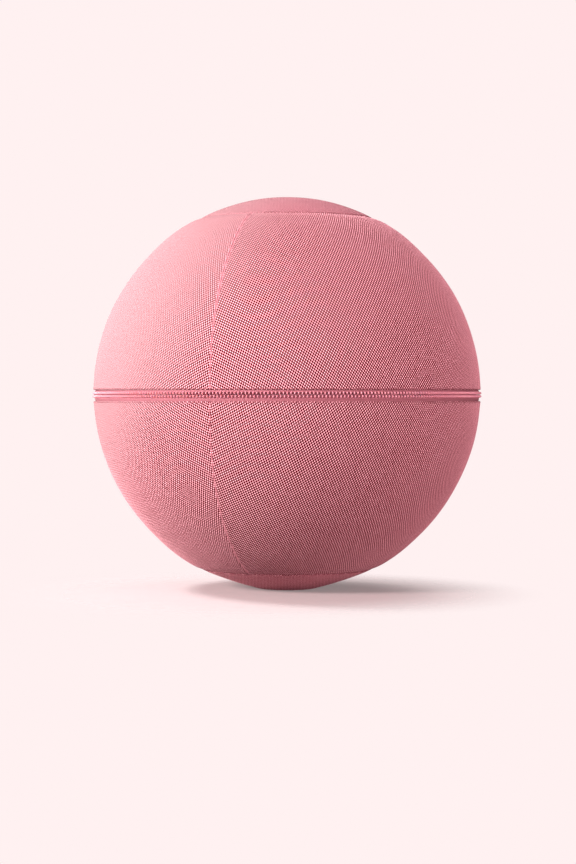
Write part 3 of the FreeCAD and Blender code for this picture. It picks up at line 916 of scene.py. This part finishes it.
def mesh_cloth(name, deep, low, high, open_to):
    """Knitted mesh: pale knots and threads between staggered holes, and painted shade in the holes for
    the dark inside them.
    """
    n = Nodes(name)
    uv = n.cloth_way()

    def to_hole(shift):
        moved = n.vector("ADD", uv, (0.5 + shift, 0.5 + shift, 0.0))
        wrapped = n.vector("SUBTRACT", n.vector("FRACTION", moved), (0.5, 0.5, 0.0))
        return n.vector("LENGTH", n.vector("MULTIPLY", wrapped, (2.0, 2.0, 0.0)))

    # painted shade: the holes are coloured with the dark tone, for the shade inside them
    nearest = n.math("MINIMUM", to_hole(0.0), to_hole(0.5))
    thread = n.ramp(nearest, open_to, 1.0)
    scaled = n.vector("MULTIPLY", uv, (HOLE_ACROSS / MM, HOLE_UP / MM, 0.0))
    fuzz = n.noise(scaled, 1.7, 2)
    broad = n.noise(scaled, 0.02, 2)
    yarn = n.mix(n.ramp(fuzz, 0.3, 0.7, 0.0, 0.6), low, high)
    yarn = n.mix(n.ramp(broad, 0.3, 0.7, 0.0, 0.15), yarn, high)
    # Painted light: towards the upper left, where the key lamp shines into the holes, the cloth is
    # painted one even tone that hides them.
    lit_holes_share = n.ramp(n.vector("DOT_PRODUCT", n.spot(), LIT_HOLES_SIDE), *LIT_HOLES_SPAN, 0.0, LIT_HOLES_SHARE)
    n.set(Base_Color=n.mix(lit_holes_share, n.mix(thread, deep, yarn), LIT_HOLES_PINK))
    n.set(Normal=n.bump(n.wave(scaled, 0.42, 0.6), 0.12 * MM, 0.4), Roughness=0.9,
          Specular_IOR_Level=0.03)
    return n.material


def binding_cloth(name, low, high):
    """The turned edges of the mesh, where threads lie close and no holes show."""
    n = Nodes(name)
    uv = n.cloth_way()
    scaled = n.vector("MULTIPLY", uv, (900.0, 1.2, 0.0))
    knit = n.noise(scaled, 1.0, 2)
    n.set(Base_Color=n.mix(n.ramp(knit, 0.3, 0.7), low, high),
          Normal=n.bump(knit, 0.15 * MM, 0.5), Roughness=0.8, Sheen_Weight=0.15,
          Specular_IOR_Level=0.2)
    return n.material


def sewing_thread(name, low, high):
    """Twisted thread, with the twist as a fine bump along it."""
    n = Nodes(name)
    uv = n.cloth_way()
    twist = n.wave(uv, 0.8)
    n.set(Base_Color=n.mix(twist, low, high), Normal=n.bump(twist, 0.08 * MM, 0.5),
          Roughness=0.6, Sheen_Weight=0.1)
    return n.material


def painted_metal():
    """Cast zip metal under satin paint, with a faint grain."""
    n = Nodes("painted_metal")
    grain = n.noise(n.spot(), 900, 3)
    n.set(Base_Color=n.mix(grain, *METAL_PINK), Roughness=0.34,
          Normal=n.bump(grain, 0.03 * MM, 0.3), Coat_Weight=0.4)
    return n.material


def ball_film():
    """Soft vinyl of the air-filled ball, satin with a faint orange-peel."""
    n = Nodes("ball_film")
    spot = n.spot()
    tone = n.noise(spot, 6, 2)
    peel = n.noise(spot, 700, 2)
    n.set(Base_Color=n.mix(tone, *BALL_PINK), Roughness=0.48,
          Normal=n.bump(peel, 0.03 * MM, 0.25), Subsurface_Weight=0.05)
    return n.material


def valve_plastic():
    """Off-white moulded plastic, smooth and hard."""
    n = Nodes("valve_plastic")
    tone = n.noise(n.spot(), 300, 2)
    n.set(Base_Color=n.mix(tone, *VALVE_WHITE), Roughness=0.3,
          Normal=n.bump(tone, 0.03 * MM, 0.2))
    return n.material


def woven_tape():
    """Flat woven polyester tape: fine ribs along it with threads across, and painted shade by the
    teeth.
    """
    n = Nodes("woven_tape")
    uv = n.cloth_way()
    parts = n.add("ShaderNodeSeparateXYZ", uv)
    warp = n.math("SINE", n.math("MULTIPLY", parts.outputs[1], 2 * math.pi / 0.9))
    weft = n.math("SINE", n.math("MULTIPLY", parts.outputs[0], 2 * math.pi / 0.8))
    weave = n.math("MULTIPLY", warp, weft)
    fuzz = n.noise(uv, 1.4, 3)
    shade = n.math("ADD", n.ramp(weave, -1, 1, 0.0, 0.5), n.math("MULTIPLY", fuzz, 0.5))
    plain = n.mix(shade, *TAPE_PINK)
    # painted shade: the tape's inner edge, between and under the teeth, is coloured dark
    under = n.ramp(parts.outputs[1], 4.9, 5.7)
    n.set(Base_Color=n.mix(under, TAPE_SHADE_UNDER_TEETH, plain),
          Normal=n.bump(weave, 0.15 * MM, 0.6), Roughness=0.75, Sheen_Weight=0.05,
          Specular_IOR_Level=0.2)
    return n.material


def coil_plastic():
    """Dyed nylon monofilament, a little glossy."""
    n = Nodes("coil_plastic")
    uv = n.cloth_way()
    tone = n.noise(uv, 0.35, 2)
    n.set(Base_Color=n.mix(tone, *COIL_PINK), Roughness=0.38,
          Normal=n.bump(n.noise(uv, 3.0, 2), 0.05 * MM, 0.4), Subsurface_Weight=0.1)
    return n.material


# ---- the stage -----------------------------------------------------------------------------

BACKGROUND = (1.0, 0.88, 0.88)
SKY_TOP = (0.17, 0.135, 0.14)
SKY_LOW = (0.36, 0.135, 0.155)
FLOOR_RADIUS = 0.8
FLOOR_TONE = (0.80, 0.78, 0.78)
FLOOR_FADE = (0.17, 0.46)  # from the middle: where the fade begins, and where the floor is gone
FLOOR_FADE_MIDDLE = (-0.03, -0.09, 0.0)
FLOOR_CLEAR = 0.23  # the share of the backdrop in the floor by the ball, which keeps its shadow pale


def make_world():
    """A plain backdrop tone behind the ball, and soft light that comes mostly from above."""
    world = bpy.data.worlds.new("studio")
    bpy.context.scene.world = world
    world.use_nodes = True
    tree = world.node_tree
    new, link = tree.nodes.new, tree.links.new
    out = next(n for n in tree.nodes if n.type == "OUTPUT_WORLD")
    lit = next(n for n in tree.nodes if n.type == "BACKGROUND")
    way = new("ShaderNodeTexCoord").outputs["Generated"]
    parts = new("ShaderNodeSeparateXYZ")
    ramp = new("ShaderNodeValToRGB")
    half = new("ShaderNodeMapRange")
    half.inputs["From Min"].default_value = -1
    link(way, parts.inputs[0])
    link(parts.outputs[2], half.inputs[0])
    link(half.outputs[0], ramp.inputs[0])
    ramp.color_ramp.elements[0].color = (*SKY_LOW, 1)
    ramp.color_ramp.elements[1].color = (*SKY_TOP, 1)
    link(ramp.outputs[0], lit.inputs["Color"])
    seen = new("ShaderNodeBackground")
    seen.inputs["Color"].default_value = (*BACKGROUND, 1)
    path = new("ShaderNodeLightPath")
    mix = new("ShaderNodeMixShader")
    link(path.outputs["Is Camera Ray"], mix.inputs[0])
    link(lit.outputs[0], mix.inputs[1])
    link(seen.outputs[0], mix.inputs[2])
    link(mix.outputs[0], out.inputs[0])


def make_floor():
    """A pale disc that takes the shadow by the ball and fades into the backdrop further off."""
    turns = np.linspace(0, 360, 97)[:-1]
    mesh = bpy.data.meshes.new("floor")
    mesh.from_pydata(place(FLOOR_RADIUS + 0 * turns, turns, 0).tolist(), [], [range(len(turns))])
    floor = add_object("floor", mesh)
    n = Nodes("floor_paper")
    n.tree.nodes.remove(n.shader)
    out = next(x for x in n.tree.nodes if x.type == "OUTPUT_MATERIAL")
    paper = n.add("ShaderNodeBsdfDiffuse", FLOOR_TONE)
    clear = n.add("ShaderNodeBsdfTransparent")
    away = n.vector("LENGTH", n.vector("SUBTRACT", n.spot(), FLOOR_FADE_MIDDLE))
    far = n.ramp(away, *FLOOR_FADE, FLOOR_CLEAR, 1.0)
    mix = n.add("ShaderNodeMixShader", far, paper.outputs[0], clear.outputs[0])
    n.feed(out.inputs[0], mix.outputs[0])
    floor.data.materials.append(n.material)
    return floor


LIGHT_AWAY = 3.0
LIGHT_SIZE, FLOOR_LIGHT_SIZE = 1.6, 0.7
LIGHTS = {  # name: turn, rise over the ball's middle in degrees, power in watts, tint
    "key": (-76, 6, 136, (1, 0.975, 0.94)),
    "fill_left": (-50, 22, 190, (1, 0.965, 0.94)),
    "fill_front": (-4, 32, 57, (1, 0.94, 0.95)),
    "fill_low": (6, 4, 66, (1, 0.86, 0.885)),
    "fill_right": (60, 6, 64, (1, 0.74, 0.78)),
    "back_top": (-150, 50, 86, (1, 0.94, 0.93)),
    "back_low": (178, 12, 120, (1, 0.92, 0.92)),
}
FLOOR_LIGHTS = {  # these light only the floor, and the others only the ball
    "floor_top": (-100, 47, 72, (1, 0.93, 0.93)),
    "floor_back": (150, 50, 16, (1, 0.72, 0.72)),
    "floor_fill": (-50, 16, 110, (1, 0.72, 0.72)),
}


def make_lights(floor):
    """Soft lights round the ball, the strongest on its left, and smaller ones for the floor."""
    only, without = (bpy.data.collections.new(name) for name in ("floor_only", "all_but_floor"))
    for group, state in ((only, "INCLUDE"), (without, "EXCLUDE")):
        group.objects.link(floor)
        group.collection_objects[0].light_linking.link_state = state
    middle = Vector((0, 0, EQUATOR))
    for name, (turn, rise, power, tint) in (LIGHTS | FLOOR_LIGHTS).items():
        light = bpy.data.lights.new(name, "AREA")
        light.shape = "DISK"
        light.size = FLOOR_LIGHT_SIZE if name in FLOOR_LIGHTS else LIGHT_SIZE
        light.energy = power
        light.color = tint
        lamp = add_object(name, light)
        a = math.radians(rise)
        lamp.location = place(LIGHT_AWAY * math.cos(a), turn, EQUATOR + LIGHT_AWAY * math.sin(a))
        lamp.rotation_euler = (middle - lamp.location).to_track_quat("-Z", "Y").to_euler()
        lamp.visible_camera = False
        lamp.light_linking.receiver_collection = only if name in FLOOR_LIGHTS else without


CAMERA_AWAY = 3.7
CAMERA_LENS = 91.45
CAMERA_ASIDE = 1.7 * MM
CAMERA_DOWN = 0.971


def make_camera():
    """In front of the ball, a little to its right, and tipped down a little."""
    camera = add_object("camera", bpy.data.cameras.new("camera"))
    camera.data.lens = CAMERA_LENS
    camera.data.sensor_width = 36
    camera.location = (CAMERA_ASIDE, -CAMERA_AWAY, EQUATOR)
    camera.rotation_euler = (math.radians(90 - CAMERA_DOWN), 0, 0)
    bpy.context.scene.camera = camera


# ---- putting it together -------------------------------------------------------------------


def dress(piece, material, slot, *nodes):
    """Gives a piece its material, and hides the CAD nodes that it stands for. The slot is not used."""
    piece.data.materials.clear()
    piece.data.materials.append(material)
    if nodes:
        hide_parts(*nodes)


def build():
    """All the pieces: each half of the cover in a loop, then the join, the ball and the fittings."""
    cloth = mesh_cloth("mesh_cloth", PINK_HOLE_SHADE, PINK, PINK_LIGHT, 0.50)
    # painted shade: the upper cap gets a darker copy of the cloth
    shaded_cap_cloth = mesh_cloth("shaded_cap_mesh_cloth", CAP_HOLE_SHADE, CAP_SHADED_PINK, CAP_SHADED_PINK_LIGHT, 0.36)
    foot_cloth = mesh_cloth("foot_mesh_cloth", FOOT_HOLE_SHADE, PINK, PINK_LIGHT, 0.47)
    binding = binding_cloth("binding_cloth", *BINDING)
    shaded_welting = binding_cloth("shaded_welt_cloth", *WELT_SHADED_BINDING)
    tape, coil = woven_tape(), coil_plastic()
    thread = sewing_thread("thread", *THREAD_PINK)
    dark_thread = sewing_thread("dark_thread", *THREAD_DARK)
    metal, film, plastic = painted_metal(), ball_film(), valve_plastic()
    for name, side, body in (("upper", 1, "upper_cover"), ("lower", -1, "base")):
        meridian = gore_meridian(side)
        for index in range(GORES):
            seam = FRONT_SEAM + index * 2 * HALF_GORE
            gore = make_gore(f"{name}_panel_{index + 1}", meridian, seam + HALF_GORE, body)
            dress(gore, cloth, "mesh_cloth", f"{name}_gore_{index + 1}")
            ribs = make_seam(f"{name}_seam_{index + 1}", meridian, seam, body)
            dress(ribs, binding, "seam_binding", f"{name}_gore_seam_{index + 1}")
            sewn = make_seam_thread(f"{name}_seam_thread_{index + 1}", meridian, seam, body)
            dress(sewn, thread, "seam_binding")
        cap = make_cap(f"{name}_round", side, body)
        dress(cap, shaded_cap_cloth if side > 0 else foot_cloth, "mesh_cloth", f"{name}_cap")
        dress(make_welt(f"{name}_welt", side, body), shaded_welting, "seam_binding", f"{name}_cap_welt")
        dress(make_welt_thread(f"{name}_welt_thread", side, body), dark_thread, "seam_binding")
        dress(fold_thread(f"{name}_fold_thread", meridian, body), dark_thread, "seam_binding")
        end = CHAIN_END_UPPER if side > 0 else CHAIN_END_LOWER
        teeth = make_chain(f"{name}_teeth", side, body, end)
        dress(teeth, coil, "zip_coil_plastic", f"{name}_zip_coil")
        dress(coil_thread(f"{name}_coil_thread", side, body, end), thread, "zip_tape_cloth")
        strip = make_tape(f"{name}_tape", side, body, end, meridian)
        dress(strip, tape, "zip_tape_cloth", f"{name}_zip_tape")
    dress(make_join(), cloth, "mesh_cloth", "rear_join")
    dress(make_ball("ball"), film, "ball_film", "inner_ball")
    make_fittings(metal, plastic)


bpy.context.scene.view_settings.view_transform = "Standard"
make_camera()
make_world()
make_lights(make_floor())
build()
